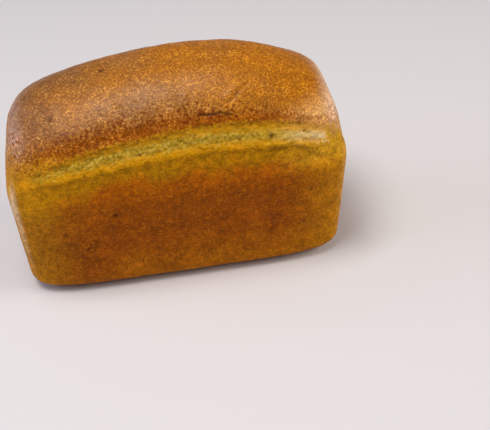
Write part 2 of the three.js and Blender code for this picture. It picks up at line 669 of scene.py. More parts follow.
@dataclass
class CrustRelief:
    """Geometry nodes that raise the crust's lumps, tear the crumb and open the pores."""

    lump_size: float = 40.0
    lump_height: float = 0.45
    dent_size: float = 11.0
    dent_height: float = 0.3
    ruffle_size: float = 4.6
    ruffle_height: float = 0.45
    crumb_size: float = 2.8
    crumb_height: float = 0.7
    strand_size: float = 7.0
    strand_height: float = 0.7
    pore_spacing: float = 4.6
    pore_radius: float = 1.3
    pore_depth: float = 0.9
    seed: float = 4.0

    # Distances above the torn band's lower and upper edges, in millimetres.
    crown_edge: Span = (-1.0, 1.5)
    band_edge: Span = (0.0, 2.5)
    ruffles_under: Span = (-14.0, -1.0)
    ruffles_over: Span = (8.0, 0.0)

    noise_roughness: float = 0.55
    noise_span: Span = (0.25, 0.75)  # the noise's own low and high
    pull: tuple[float, float, float] = (1.0, 1.0, 0.35)  # under 1 draws the strands out
    tin_lumps: float = 0.4  # how much of the lumps and dents is left where the tin pressed
    pore_chances: Pair = (0.12, 0.8)  # whole crust and torn crumb
    crown_pores: float = 0.4  # the crown has this share of the tin crust's pores

    def sizes(self) -> dict[str, float]:
        """The tree's inputs.

        Returns:
            Each input's value by its name.
        """
        return {
            "Lump size mm": self.lump_size,
            "Lump height mm": self.lump_height,
            "Dent size mm": self.dent_size,
            "Dent height mm": self.dent_height,
            "Ruffle size mm": self.ruffle_size,
            "Ruffle height mm": self.ruffle_height,
            "Crumb size mm": self.crumb_size,
            "Crumb height mm": self.crumb_height,
            "Strand size mm": self.strand_size,
            "Strand height mm": self.strand_height,
            "Pore spacing mm": self.pore_spacing,
            "Pore radius mm": self.pore_radius,
            "Pore depth mm": self.pore_depth,
            "Seed": self.seed,
        }

    def tree(self) -> tuple[Tree, dict[str, str]]:
        """Builds the tree.

        Returns:
            The tree, and the identifier of each of its inputs by name.
        """
        tree = bpy.data.node_groups.new("Crust relief", "GeometryNodeTree")
        kinds = {"Geometry": "NodeSocketGeometry", "Material": "NodeSocketMaterial"}
        names = {
            name: tree.interface.new_socket(
                name, in_out="INPUT", socket_type=kinds.get(name, "NodeSocketFloat")
            ).identifier
            for name in ("Geometry", "Material", *self.sizes())
        }
        tree.interface.new_socket("Geometry", in_out="OUTPUT", socket_type="NodeSocketGeometry")
        given = add_node(tree, "NodeGroupInput").outputs
        metres = add_node(tree, "GeometryNodeInputPosition")
        place = add_node(tree, VECTOR, metres, PER_METRE, operation="SCALE")
        crown, torn = self.zones(tree)
        sunk, hollow = self.pores(tree, given, place, crown, torn)
        lumps = self.lumps(tree, given, place, crown)
        relief = add_node(tree, MATH, lumps, self.crumb(tree, given, place, torn))
        relief = add_node(tree, MATH, relief, self.ruffles(tree, given, place))
        relief = add_node(tree, MATH, relief, sunk, operation="SUBTRACT")
        relief = add_node(tree, MATH, relief, MM, operation="MULTIPLY")
        normal = add_node(tree, "GeometryNodeInputNormal")
        push = add_node(tree, VECTOR, normal, relief, operation="SCALE")
        kept = add_node(
            tree,
            "GeometryNodeStoreNamedAttribute",
            named={"Geometry": given["Geometry"], "Name": Field.HOLLOW.value, "Value": hollow},
            data_type="FLOAT",
            domain="POINT",
        )
        moved = add_node(tree, "GeometryNodeSetPosition", named={"Geometry": kept, "Offset": push})
        self.finish_tree(tree, given["Material"], moved)
        return tree, names

    def read(self, tree: Tree, name: Field) -> Node:
        """Reads one of the loaf's fields."""
        return add_node(
            tree, "GeometryNodeInputNamedAttribute", named={"Name": name.value}, data_type="FLOAT"
        )

    def zones(self, tree: Tree) -> tuple[Node, Node]:
        """Where the crown is and where the crumb is torn.

        Args:
            tree: The tree to add to.

        Returns:
            The two shares, each 0 to 1.
        """
        crown = add_node(tree, RANGE, self.read(tree, Field.ABOVE_HEAD), *self.crown_edge, **SOFT)
        over = add_node(tree, RANGE, self.read(tree, Field.ABOVE_FOOT), *self.band_edge, **SOFT)
        band = add_node(tree, MATH, over, crown, operation="SUBTRACT", use_clamp=True)
        torn = add_node(tree, MATH, band, self.read(tree, Field.TEAR), operation="MULTIPLY")
        return crown, torn

    def swell(self, tree: Tree, given: Sockets, place: Node, name: str) -> Node:
        """A noise of one of the named sizes, which swings from minus to plus its height.

        Args:
            tree: The tree to add to.
            given: The tree's inputs.
            place: Each point's place, in millimetres.
            name: What the noise makes, as the inputs' names begin.

        Returns:
            The noise, in millimetres.
        """
        height = given[f"{name} height mm"]
        scale = add_node(tree, MATH, 1.0, given[f"{name} size mm"], operation="DIVIDE")
        grain = (BROAD_DETAIL, self.noise_roughness)
        noise = add_node(tree, NOISE, place, given["Seed"], scale, *grain, noise_dimensions="4D")
        low = add_node(tree, MATH, height, -1.0, operation="MULTIPLY")
        return add_node(tree, RANGE, noise, *self.noise_span, low, height, clamp=False)

    def lumps(self, tree: Tree, given: Sockets, place: Node, crown: Node) -> Node:
        """The crust's lumps and dents, at full height on the crown and pressed flat in the tin.

        Args:
            tree: The tree to add to.
            given: The tree's inputs.
            place: Each point's place, in millimetres.
            crown: Where the crown is.

        Returns:
            Their height, in millimetres.
        """
        lump = self.swell(tree, given, place, "Lump")
        both = add_node(tree, MATH, lump, self.swell(tree, given, place, "Dent"))
        share = add_node(tree, RANGE, crown, 0.0, 1.0, self.tin_lumps, 1.0)
        return add_node(tree, MATH, both, share, operation="MULTIPLY")

    def ruffles(self, tree: Tree, given: Sockets, place: Node) -> Node:
        """The crust's small ruffles, pulled up along both edges of the torn band.

        Args:
            tree: The tree to add to.
            given: The tree's inputs.
            place: Each point's place, in millimetres.

        Returns:
            Their height, in millimetres.
        """
        under = (self.read(tree, Field.ABOVE_FOOT), (*self.ruffles_under, 0.0, 1.0))
        over = (self.read(tree, Field.ABOVE_HEAD), (*self.ruffles_over, 0.0, 1.0))
        near = all_of(tree, under, over)
        near = add_node(tree, MATH, near, self.read(tree, Field.TEAR), operation="MULTIPLY")
        ruffle = self.swell(tree, given, place, "Ruffle")
        return add_node(tree, MATH, ruffle, near, operation="MULTIPLY")

    def crumb(self, tree: Tree, given: Sockets, place: Node, torn: Node) -> Node:
        """The torn crumb: fine grain, and strands that were pulled out upwards.

        Args:
            tree: The tree to add to.
            given: The tree's inputs.
            place: Each point's place, in millimetres.
            torn: Where the crumb is torn.

        Returns:
            Its height, in millimetres.
        """
        grain = self.swell(tree, given, place, "Crumb")
        pulled = add_node(tree, VECTOR, place, self.pull, operation="MULTIPLY")
        both = add_node(tree, MATH, grain, self.swell(tree, given, pulled, "Strand"))
        return add_node(tree, MATH, both, torn, operation="MULTIPLY")

    def pores(
        self, tree: Tree, given: Sockets, place: Node, crown: Node, torn: Node
    ) -> tuple[Node, Node]:
        """Small open pores: many in the torn crumb, some in the tin crust, few on the crown.

        Args:
            tree: The tree to add to.
            given: The tree's inputs.
            place: Each point's place, in millimetres.
            crown: Where the crown is.
            torn: Where the crumb is torn.

        Returns:
            How far in they sink, in millimetres, and how deep in a pore each point is, 0 to 1.
        """
        spacing = given["Pore spacing mm"]
        scale = add_node(tree, MATH, 1.0, spacing, operation="DIVIDE")
        cells = add_node(tree, "ShaderNodeTexVoronoi", named={"Vector": place, "Scale": scale})
        away = add_node(tree, MATH, cells, spacing, operation="MULTIPLY")
        deep = add_node(tree, RANGE, away, given["Pore radius mm"], 0.0, **SOFT)
        chance = add_node(tree, "ShaderNodeSeparateXYZ", cells.outputs["Color"])
        share = add_node(tree, RANGE, torn, 0.0, 1.0, *self.pore_chances)
        fewer = add_node(tree, RANGE, crown, 0.0, 1.0, 1.0, self.crown_pores)
        share = add_node(tree, MATH, share, fewer, operation="MULTIPLY")
        chosen = add_node(tree, MATH, chance, share, operation="LESS_THAN")
        hollow = add_node(tree, MATH, deep, chosen, operation="MULTIPLY")
        sunk = add_node(tree, MATH, hollow, given["Pore depth mm"], operation="MULTIPLY")
        return sunk, hollow

    def finish_tree(self, tree: Tree, material: Socket, geometry: Node) -> None:
        """Keeps the bottom flat on the table, smooths the shading and sets the material.

        Args:
            tree: The tree to add to.
            material: The finish to set.
            geometry: The loaf with its relief.
        """
        place = add_node(tree, "GeometryNodeInputPosition")
        axes = add_node(tree, "ShaderNodeSeparateXYZ", place).outputs
        above = add_node(tree, MATH, axes[2], 0.0, operation="MAXIMUM")
        level = add_node(tree, "ShaderNodeCombineXYZ", axes[0], axes[1], above)
        settled = {"Geometry": geometry, "Position": level}
        flat = add_node(tree, "GeometryNodeSetPosition", named=settled)
        smoothed = add_node(tree, "GeometryNodeSetShadeSmooth", flat)
        whole = add_node(tree, "GeometryNodeRealizeInstances", smoothed)
        baked = {"Geometry": whole, "Material": material}
        dressed = add_node(tree, "GeometryNodeSetMaterial", named=baked)
        add_node(tree, "NodeGroupOutput", dressed)

    def apply(self, mesh: bpy.types.Mesh, material: bpy.types.Material) -> bpy.types.Object:
        """Runs the tree on a mesh and gives back the result as a plain piece.

        Args:
            mesh: The smooth loaf.
            material: The finish that the tree sets.

        Returns:
            A new object with no modifier on it.
        """
        rough = bpy.data.objects.new(mesh.name, mesh)
        bpy.context.scene.collection.objects.link(rough)
        tree, names = self.tree()
        modifier = rough.modifiers.new("Crust relief", "NODES")
        modifier.node_group = tree
        for name, value in {**self.sizes(), "Material": material}.items():
            modifier[names[name]] = value
        graph = bpy.context.evaluated_depsgraph_get()
        made = bpy.data.meshes.new_from_object(
            rough.evaluated_get(graph), preserve_all_data_layers=True, depsgraph=graph
        )
        rough.modifiers.remove(modifier)
        bpy.data.objects.remove(rough)
        bpy.data.meshes.remove(mesh)
        piece = bpy.data.objects.new("baked_loaf", made)
        bpy.context.scene.collection.objects.link(piece)
        return piece


# ---------------------------------------------------------------------------------------
# Finishes
# ---------------------------------------------------------------------------------------


@dataclass(frozen=True)
class CrownCrust:
    """Crust baked open to the oven: a satin brown, finely freckled with lighter bran."""

    brown: str = "#805022"
    orange: str = "#a26000"
    # Painted light and sheen: the pale laid on the right end and on the near shoulder.
    pale: str = "#e0b070"
    # Painted highlight: the window's light, pale and lilac, at both ends of the crown.
    painted_end_highlight: str = "#dcbcac"
    bran: str = "#d8a658"
    freckle: str = "#dca02a"
    speck: str = "#7a4808"
    edge_gold: str = "#b27602"
    edge_brown: str = "#8e4900"
    edge_speck: str = "#642a00"

    # Ground bran is flakes of about 0.5 mm, drawn more than twice as coarse so that it shows.
    freckle_size: float = 1.3
    speck_size: float = 1.9
    mottle_size: float = 7.5
    broad_size: float = 45.0
    freckle_noise: Pair = (FINE_DETAIL, 0.68)  # detail and roughness
    speck_noise: Pair = (DETAIL, 0.65)
    roughness: float = 0.43
    glaze: float = 0.33
    grain_depth: float = 0.24

    # The orange grows from the left end to the right.
    lean: Slope = (-100.0, 80.0, -0.25, 0.3)
    warmth: Span = (0.3, 0.75)
    # Painted light from the right pales the right end low down; painted highlights lie at both ends.
    # Painted light from the right, low down on the right end.
    right_light_along: Slope = (20.0, 104.0, 0.0, 1.0)
    right_light_down: Slope = (131.0, 116.0, 0.0, 0.75)
    # Painted highlight of the window's light at both ends of the crown.
    highlight_along: Slope = (92.0, 106.0, 0.0, 0.9)
    highlight_across: Slope = (4.0, 30.0, 0.4, 1.0)
    # Painted sheen: the near shoulder is a little paler, where the overhead light's sheen lies.
    sheen_middle: float = -12.0
    sheen_along: Slope = (85.0, 25.0, 0.0, 0.1)
    sheen_across: Slope = (-8.0, -28.0, 0.0, 1.0)
    sheen_up: Slope = (118.0, 132.0, 0.0, 1.0)
    # The dark edge is 34 mm high at the left and 13 mm at the right.
    edge_width: Slope = (-100.0, 50.0, 34.0, 13.0)
    edge_swing: Slope = (0.32, 0.68, 0.4, 1.7)
    edge_fade: Span = (0.3, 0.8)
    gold_start: float = 0.02
    gold_end: Slope = (-104.0, -60.0, 0.8, 0.12)
    right_light_edge: float = 0.8  # how far the pale right end hides it
    # Noise in, shade or strength out.
    grain: Slope = (0.34, 0.66, 0.48, 1.54)
    tone: Slope = (0.3, 0.7, 0.86, 1.14)
    specks: Span = (0.5, 0.38)
    speck_strengths: Pair = (0.85, 0.5)  # in the dark edge and above it
    freckles: Slope = (0.54, 0.64, 0.0, 0.68)
    freckle_patches: Slope = (0.38, 0.62, 0.1, 1.0)
    edge_freckles: float = 0.8  # the share of the freckles' strength left in the dark edge
    right_light_marks: Slope = (0.0, 0.6, 1.0, 0.35)


@dataclass(frozen=True)
class TinCrust:
    """Crust baked against the greased tin: matt, ochre at the top and browner below."""

    ochre: str = "#b07800"
    amber: str = "#a85800"
    brown: str = "#984c00"
    foot: str = "#ac6400"
    pale: str = "#b67a06"
    # Painted highlight: the window's light round both ends of the tin crust.
    painted_end_highlight: str = "#d8ac5c"
    # Painted highlight: the window's light along the left end's near edge.
    painted_rim_highlight: str = "#f4dcc0"
    # Painted light from the right, high on the right end.
    right_light_colour: str = "#bc8e1e"
    light_grain: str = "#d08c0c"
    dark_grain: str = "#884800"

    # The grain is flakes of bran of about 0.5 mm, drawn three times as coarse to show.
    grain_size: float = 1.5
    mottle_size: float = 4.5
    blotch_size: float = 13.0
    broad_size: float = 26.0
    grain_noise: Pair = (DETAIL, 0.65)  # detail and roughness
    roughness: float = 0.78
    grain_depth: float = 0.3

    # How far below the torn band each colour lies, as a share of the depth that they span.
    depth_span: float = 110.0
    ochre_at: float = 0.03
    amber_at: float = 0.14
    brown_at: Span = (0.32, 0.6)
    foot_at: float = 0.88
    depth_swing: Slope = (0.3, 0.7, -9.0, 9.0)
    # At the left end every colour lies 13 mm lower.
    left_sink: Slope = (-96.0, 10.0, -13.0, 0.0)
    # Paler at the corners; painted highlights at the ends and one edge; painted light high at the
    # right.
    corner_along: Slope = (60.0, 106.0, 0.0, 0.8)
    corner_across: Slope = (6.0, 42.0, 0.0, 1.0)
    # Painted highlight of the window's light round both ends.
    highlight_along: Slope = (101.0, 109.0, 0.0, 0.6)
    highlight_across: Slope = (24.0, 48.0, 0.0, 1.0)
    # Painted highlight of the window's light along the left end's near edge.
    rim_highlight_along: Slope = (-102.0, -107.5, 0.0, 0.7)
    rim_highlight_across: Slope = (-34.0, -44.0, 0.0, 1.0)
    # Painted light from the right, high at the right end.
    right_light_reach: Slope = (46.0, 96.0, 0.0, 1.0)
    right_light_height: Slope = (80.0, 96.0, 0.0, 0.8)
    # Noise in, shade or strength out.
    shade: Slope = (0.75, 1.25, 0.64, 1.36)
    tone: Slope = (0.3, 0.7, 0.84, 1.16)
    light: Slope = (0.54, 0.66, 0.0, 0.3)
    dark: Span = (0.48, 0.35)
    dark_strength: Slope = (0.02, 0.3, 0.15, 0.6)


@dataclass(frozen=True)
class TornCrumb:
    """Crumb laid bare where the crust tore in the oven: dull, pale and porous."""

    light: str = "#c0a044"
    crumb: str = "#a4821e"
    # Painted light from the right, on the crumb at the right end.
    painted_right_light: str = "#f0dcae"
    dark: str = "#8c6c12"
    border: str = "#c48804"
    grain_size: float = 1.8
    roughness: float = 0.92
    grain_depth: float = 0.5

    dark_at: float = 0.34
    crumb_at: float = 0.46
    light_at: float = 0.66
    # Painted light from the right pales the crumb towards the right end.
    right_light_along: Slope = (54.0, 106.0, 0.0, 0.8)
    # The yellow border is as wide as this along the lower edge, and grows along the upper one.
    border_low: Span = (6.5, 1.0)
    border_reach: Slope = (-50.0, 50.0, -4.0, -9.0)
    border_high: float = -1.5
    border_strength: float = 0.85


@dataclass(frozen=True)
class BreadCrust:
    """The loaf's one material, which passes from one crust to the next as the oven left them."""

    crown: CrownCrust = CrownCrust()
    tin: TinCrust = TinCrust()
    torn: TornCrumb = TornCrumb()

    # The bare crumb's edge is ragged where it tore, and wanders where the crust held.
    tatter_size: float = 2.4
    tatter_noise: Pair = (FINE_DETAIL, 0.65)  # detail and roughness
    tatter_span: Span = (0.3, 0.7)  # the noise's own low and high
    tatters: Pair = (8.0, 2.6)  # where it held and where it tore
    edge_softness: Pair = (9.0, 3.6)
    crumb_edge: Span = (-0.8, 1.4)
    patch_size: float = 5.0
    patch: Slope = (0.3, 0.7, 0.7, 0.3)
    patch_softness: float = 0.2

    # Painted shade in the pores, folds, pits and cracks.
    recess_shade: str = "#4c2402"
    pore_shade: float = 0.55
    unevenness_size: float = 2.0
    unevenness: Slope = (0.3, 0.7, -0.08, 0.08)
    refraction: float = 1.45
    specular_level: float = 0.12
    glaze_roughness: float = 0.5
    glaze_rise: Span = (2.0, 30.0)
    edge_glaze: float = 0.04
    bump_sizes: Pair = (1.3, 3.2)

    def material(self) -> bpy.types.Material:
        """Builds the material: baked rye crust and torn crumb.

        Returns:
            The material.
        """
        # Browned starch with a thin satin skin: a soft sheen on the crown, none on the sides.
        material = bpy.data.materials.new("baked_rye_crust")
        material.use_nodes = True
        tree = material.node_tree
        tree.nodes.clear()
        metres = add_node(tree, "ShaderNodeTexCoord").outputs["Object"]
        place = add_node(tree, VECTOR, metres, PER_METRE, operation="SCALE")
        read = {
            name: add_node(tree, "ShaderNodeAttribute", attribute_name=name.value).outputs["Fac"]
            for name in Field
        }
        head, foot = self.tattered(tree, place, read)
        on_crown, on_torn = self.zones(tree, place, head, foot, read[Field.TEAR])
        tin = self.tin_colour(tree, place, read[Field.ABOVE_FOOT])
        torn = self.torn_colour(tree, place, foot, head)
        crown = self.crown_colour(tree, place, head)
        colour = add_node(tree, MIX, on_torn, tin, torn, **COLOURS)
        colour = add_node(tree, MIX, on_crown, colour, crown, **COLOURS)
        # Painted shade darkens the pores and the marks' hollows.
        sunk = add_node(tree, MATH, read[Field.HOLLOW], self.pore_shade, operation="MULTIPLY")
        sunk = add_node(tree, MATH, sunk, read[Field.CREASE], operation="MAXIMUM")
        colour = add_node(tree, MIX, sunk, colour, linear(self.recess_shade), **COLOURS)
        levels = (self.tin.roughness, self.torn.roughness, self.crown.roughness)
        rough = self.by_zone(tree, on_crown, on_torn, levels)
        grain = add_node(tree, NOISE, place, 1 / self.unevenness_size, DETAIL)
        uneven = add_node(tree, RANGE, grain, *self.unevenness)
        bump = self.bump(tree, place, on_crown, on_torn)
        crust = {
            "Base Color": colour,
            "Roughness": add_node(tree, MATH, rough, uneven),
            "Normal": bump,
            "IOR": self.refraction,
            "Specular IOR Level": self.specular_level,
            "Coat Weight": self.glaze(tree, on_crown, head),
            "Coat Roughness": self.glaze_roughness,
            "Coat Normal": bump,
        }
        shader = add_node(tree, "ShaderNodeBsdfPrincipled", named=crust)
        add_node(tree, "ShaderNodeOutputMaterial", shader)
        return material

    def by_zone(
        self, tree: Tree, on_crown: Node, on_torn: Node, levels: tuple[float, float, float]
    ) -> Node:
        """A number that changes from the tin crust to the torn crumb and to the crown."""
        tin, torn, crown = levels
        return add_node(tree, MIX, on_crown, add_node(tree, MIX, on_torn, tin, torn), crown)

    def glaze(self, tree: Tree, on_crown: Node, head: Node) -> Node:
        """The satin skin: the crown alone has it, and it thins out towards the torn edge."""
        skin = add_node(
            tree, RANGE, head, *self.glaze_rise, self.edge_glaze, self.crown.glaze, **SOFT
        )
        return add_node(tree, MATH, skin, on_crown, operation="MULTIPLY")

    def tattered(self, tree: Tree, place: Node, read: dict[Field, Socket]) -> tuple[Node, Node]:
        """The heights above the torn band's two edges, made ragged.

        Args:
            tree: The tree to add to.
            place: Each point's place, in millimetres.
            read: The loaf's fields.

        Returns:
            The heights above its upper edge and its lower edge.
        """
        swing = add_node(tree, MIX, read[Field.TEAR], *self.tatters)
        noise = add_node(tree, NOISE, place, 1 / self.tatter_size, *self.tatter_noise)
        rag = add_node(tree, RANGE, noise, *self.tatter_span, -1.0, 1.0, clamp=False)
        rag = add_node(tree, MATH, rag, swing, operation="MULTIPLY")
        head = add_node(tree, MATH, read[Field.ABOVE_HEAD], rag)
        foot = add_node(tree, MATH, read[Field.ABOVE_FOOT], rag, operation="SUBTRACT")
        return head, foot

    def zones(
        self, tree: Tree, place: Node, head: Node, foot: Node, tear: Socket
    ) -> tuple[Node, Node]:
        """Where the crown's crust and the bare crumb show.

        Args:
            tree: The tree to add to.
            place: Each point's place, in millimetres.
            head: The ragged height above the band's upper edge.
            foot: The ragged height above the band's lower edge.
            tear: Where the crust tore open.

        Returns:
            The two shares, each 0 to 1. The crumb breaks up into patches where the tear dies out.
        """
        soft_edge = add_node(tree, MIX, tear, *self.edge_softness)
        under = add_node(tree, MATH, soft_edge, -1.0, operation="MULTIPLY")
        on_crown = add_node(tree, RANGE, head, under, soft_edge, **SOFT)
        noise = add_node(tree, NOISE, place, 1 / self.patch_size, DETAIL)
        patch = add_node(tree, RANGE, noise, *self.patch)
        low = add_node(tree, MATH, patch, self.patch_softness, operation="SUBTRACT")
        high = add_node(tree, MATH, patch, self.patch_softness)
        bare = add_node(tree, RANGE, tear, low, high, **SOFT)
        over = add_node(tree, RANGE, foot, *self.crumb_edge, **SOFT)
        return on_crown, add_node(tree, MATH, over, bare, operation="MULTIPLY")

    def crown_colour(self, tree: Tree, place: Node, head: Node) -> Node:
        """The crown's brown, its painted light, sheen and highlights, its torn edge and its flecks of
        bran.

        Args:
            tree: The tree to add to.
            place: Each point's place, in millimetres.
            head: The ragged height above the band's upper edge.

        Returns:
            The colour.
        """
        crown = self.crown
        axes = add_node(tree, "ShaderNodeSeparateXYZ", place).outputs
        lean = add_node(tree, RANGE, axes[0], *crown.lean)
        broad = add_node(tree, NOISE, place, 1 / crown.broad_size, BROAD_DETAIL)
        broad = add_node(tree, MATH, broad, lean)
        warm = add_node(tree, RANGE, broad, *crown.warmth, **SOFT)
        base = add_node(tree, MIX, warm, linear(crown.brown), linear(crown.orange), **COLOURS)
        # Painted light from the right: the right end paler low down.
        painted_right_light = all_of(tree, (axes[0], crown.right_light_along), (axes[2], crown.right_light_down))
        along = add_node(tree, MATH, axes[0], operation="ABSOLUTE")
        across = add_node(tree, MATH, axes[1], operation="ABSOLUTE")
        # Painted highlight: the window's light at both ends of the crown.
        end_highlight = add_node(tree, RANGE, along, *crown.highlight_along)
        highlight_sideways = add_node(tree, RANGE, across, *crown.highlight_across, **SOFT)
        end_highlight = add_node(tree, MATH, end_highlight, highlight_sideways, operation="MULTIPLY")
        # The last coat is painted sheen on the near shoulder.
        coats = [(painted_right_light, crown.pale), (end_highlight, crown.painted_end_highlight), (self.shoulder(tree, axes), crown.pale)]
        base = painted(tree, base, coats)
        specks = add_node(tree, NOISE, place, 1 / crown.speck_size, *crown.speck_noise)
        edge, clear = self.torn_edge(tree, axes[0], head, specks)
        # The painted light at the right end also hides the dark edge.
        kept = add_node(tree, MATH, painted_right_light, crown.right_light_edge, operation="MULTIPLY")
        clear = add_node(tree, MATH, clear, kept, operation="MAXIMUM")
        base = add_node(tree, MIX, clear, edge, base, **COLOURS)
        return self.flecked(tree, place, base, specks, clear, warm, painted_right_light)

    def torn_edge(self, tree: Tree, along: Socket, head: Node, specks: Node) -> tuple[Node, Node]:
        """The dark band along the crown's torn edge, gold at its lip and at the left end.

        Args:
            tree: The tree to add to.
            along: Each point's distance along the loaf.
            head: The ragged height above the band's upper edge.
            specks: The noise that the specks follow.

        Returns:
            The band's colour, and how clear of it each point is, 0 to 1.
        """
        crown = self.crown
        # The dark edge thins out upwards into stipple, so its height swings with the specks.
        swing = add_node(tree, RANGE, specks, *crown.edge_swing)
        width = add_node(tree, RANGE, along, *crown.edge_width)
        rise = add_node(tree, MATH, head, width, operation="DIVIDE")
        rise = add_node(tree, MATH, rise, swing, operation="MULTIPLY")
        gold_end = add_node(tree, RANGE, along, *crown.gold_end)
        gold = add_node(tree, RANGE, rise, crown.gold_start, gold_end, **SOFT)
        tones = (linear(crown.edge_gold), linear(crown.edge_brown))
        edge = add_node(tree, MIX, gold, *tones, **COLOURS)
        return edge, add_node(tree, RANGE, rise, *crown.edge_fade, **SOFT)

    def flecked(
        self, tree: Tree, place: Node, base: Node, specks: Node, clear: Node, warm: Node, painted_right_light: Node
    ) -> Node:
        """The crown's grain, its dark specks and its light freckles.

        Args:
            tree: The tree to add to.
            place: Each point's place, in millimetres.
            base: The colour underneath.
            specks: The noise that the specks follow.
            clear: How clear of the dark edge each point is.
            warm: How orange the crust is.
            painted_right_light: How much painted light from the right lies on the right end.

        Returns:
            The colour.
        """
        crown = self.crown
        mottle = add_node(tree, NOISE, place, 1 / crown.mottle_size, DETAIL)
        fine = add_node(tree, NOISE, place, 1 / crown.freckle_size, *crown.freckle_noise)
        grain = add_node(tree, RANGE, fine, *crown.grain)
        tone = add_node(tree, RANGE, mottle, *crown.tone)
        shade = add_node(tree, MATH, grain, tone, operation="MULTIPLY")
        base = add_node(tree, VECTOR, base, shade, operation="SCALE")
        # The painted light at the right end washes out the specks and freckles.
        whole = add_node(tree, RANGE, painted_right_light, *crown.right_light_marks)
        tones = (linear(crown.edge_speck), linear(crown.speck))
        speck = add_node(tree, MIX, clear, *tones, **COLOURS)
        strength = add_node(tree, RANGE, clear, 0.0, 1.0, *crown.speck_strengths)
        dark = add_node(tree, RANGE, specks, *crown.specks, 0.0, strength, **SOFT)
        dark = add_node(tree, MATH, dark, whole, operation="MULTIPLY")
        base = add_node(tree, MIX, dark, base, speck, **COLOURS)
        bright = add_node(tree, RANGE, fine, *crown.freckles, **SOFT)
        some = add_node(tree, RANGE, mottle, *crown.freckle_patches)
        fewer = add_node(tree, RANGE, clear, 0.0, 1.0, crown.edge_freckles, 1.0)
        for share in (some, fewer, whole):
            bright = add_node(tree, MATH, bright, share, operation="MULTIPLY")
        freckle = add_node(tree, MIX, warm, linear(crown.bran), linear(crown.freckle), **COLOURS)
        return add_node(tree, MIX, bright, base, freckle, **COLOURS)

    def shoulder(self, tree: Tree, axes: Sockets) -> Node:
        """How much painted sheen lies on the crown's near shoulder.

        Args:
            tree: The tree to add to.
            axes: Each point's place, in millimetres, by axis.

        Returns:
            The share of the pale colour, which is painted sheen.
        """
        crown = self.crown
        apart = add_node(tree, MATH, axes[0], crown.sheen_middle, operation="SUBTRACT")
        apart = add_node(tree, MATH, apart, operation="ABSOLUTE")
        across, up = (axes[1], crown.sheen_across), (axes[2], crown.sheen_up)
        return all_of(tree, (apart, crown.sheen_along), across, up)

    def tin_colour(self, tree: Tree, place: Node, foot: Socket) -> Node:
        """The tin-baked sides: ochre under the torn band, amber, then brown, paler and painted lighter
        at the ends.

        Args:
            tree: The tree to add to.
            place: Each point's place, in millimetres.
            foot: The height above the band's lower edge.

        Returns:
            The colour.
        """
        tin = self.tin
        axes = add_node(tree, "ShaderNodeSeparateXYZ", place).outputs
        depth = self.tin_depth(tree, place, axes[0], foot)
        brown_start, brown_end = tin.brown_at
        layers = [
            (tin.ochre_at, tin.ochre),
            (tin.amber_at, tin.amber),
            (brown_start, tin.brown),
            (brown_end, tin.brown),
            (tin.foot_at, tin.foot),
        ]
        base = add_node(tree, "ShaderNodeValToRGB", depth, stops=layers)
        along = add_node(tree, MATH, axes[0], operation="ABSOLUTE")
        across = add_node(tree, MATH, axes[1], operation="ABSOLUTE")
        corner = all_of(tree, (along, tin.corner_along), (across, tin.corner_across))
        # Painted highlight: the window's light round both ends of the tin crust.
        end_highlight = all_of(tree, (along, tin.highlight_along), (across, tin.highlight_across))
        # Painted highlight: the window's light along the left end's near edge.
        rim_highlight = all_of(tree, (axes[0], tin.rim_highlight_along), (axes[1], tin.rim_highlight_across))
        # Painted light from the right, high at the right end.
        high = all_of(tree, (axes[0], tin.right_light_reach), (axes[2], tin.right_light_height))
        coats = [(corner, tin.pale), (end_highlight, tin.painted_end_highlight), (rim_highlight, tin.painted_rim_highlight), (high, tin.right_light_colour)]
        base = painted(tree, base, coats)
        mottle = add_node(tree, NOISE, place, 1 / tin.mottle_size, FINE_DETAIL)
        grain = add_node(tree, NOISE, place, 1 / tin.grain_size, *tin.grain_noise)
        blotch = add_node(tree, NOISE, place, 1 / tin.blotch_size, DETAIL)
        tone = add_node(tree, RANGE, blotch, *tin.tone)
        shade = add_node(tree, RANGE, add_node(tree, MATH, mottle, grain), *tin.shade)
        shade = add_node(tree, MATH, shade, tone, operation="MULTIPLY")
        base = add_node(tree, VECTOR, base, shade, operation="SCALE")
        light = add_node(tree, RANGE, grain, *tin.light, **SOFT)
        deep = add_node(tree, RANGE, depth, *tin.dark_strength)
        dark = add_node(tree, RANGE, grain, *tin.dark, 0.0, deep, **SOFT)
        return painted(tree, base, [(light, tin.light_grain), (dark, tin.dark_grain)])

    def tin_depth(self, tree: Tree, place: Node, along: Socket, foot: Socket) -> Node:
        """How deep in the tin each point baked, with its lines left uneven.

        Args:
            tree: The tree to add to.
            place: Each point's place, in millimetres.
            along: Its distance along the loaf.
            foot: Its height above the band's lower edge.

        Returns:
            The depth, as a share of what the colours span.
        """
        noise = add_node(tree, NOISE, place, 1 / self.tin.broad_size, DETAIL)
        swing = add_node(tree, RANGE, noise, *self.tin.depth_swing)
        sink = add_node(tree, RANGE, along, *self.tin.left_sink)
        depth = add_node(tree, MATH, swing, sink)
        depth = add_node(tree, MATH, depth, foot, operation="SUBTRACT")
        return add_node(tree, MATH, depth, self.tin.depth_span, operation="DIVIDE")

    def torn_colour(self, tree: Tree, place: Node, foot: Node, head: Node) -> Node:
        """The bare crumb: dull straw with dark pores, yellower towards the band's two edges.

        Args:
            tree: The tree to add to.
            place: Each point's place, in millimetres.
            foot: The ragged height above the band's lower edge.
            head: The ragged height above the band's upper edge.

        Returns:
            The colour.
        """
        torn = self.torn
        crumb = add_node(tree, NOISE, place, 1 / torn.grain_size, DETAIL)
        tones = [(torn.dark_at, torn.dark), (torn.crumb_at, torn.crumb), (torn.light_at, torn.light)]
        base = add_node(tree, "ShaderNodeValToRGB", crumb, stops=tones)
        along = add_node(tree, "ShaderNodeSeparateXYZ", place)
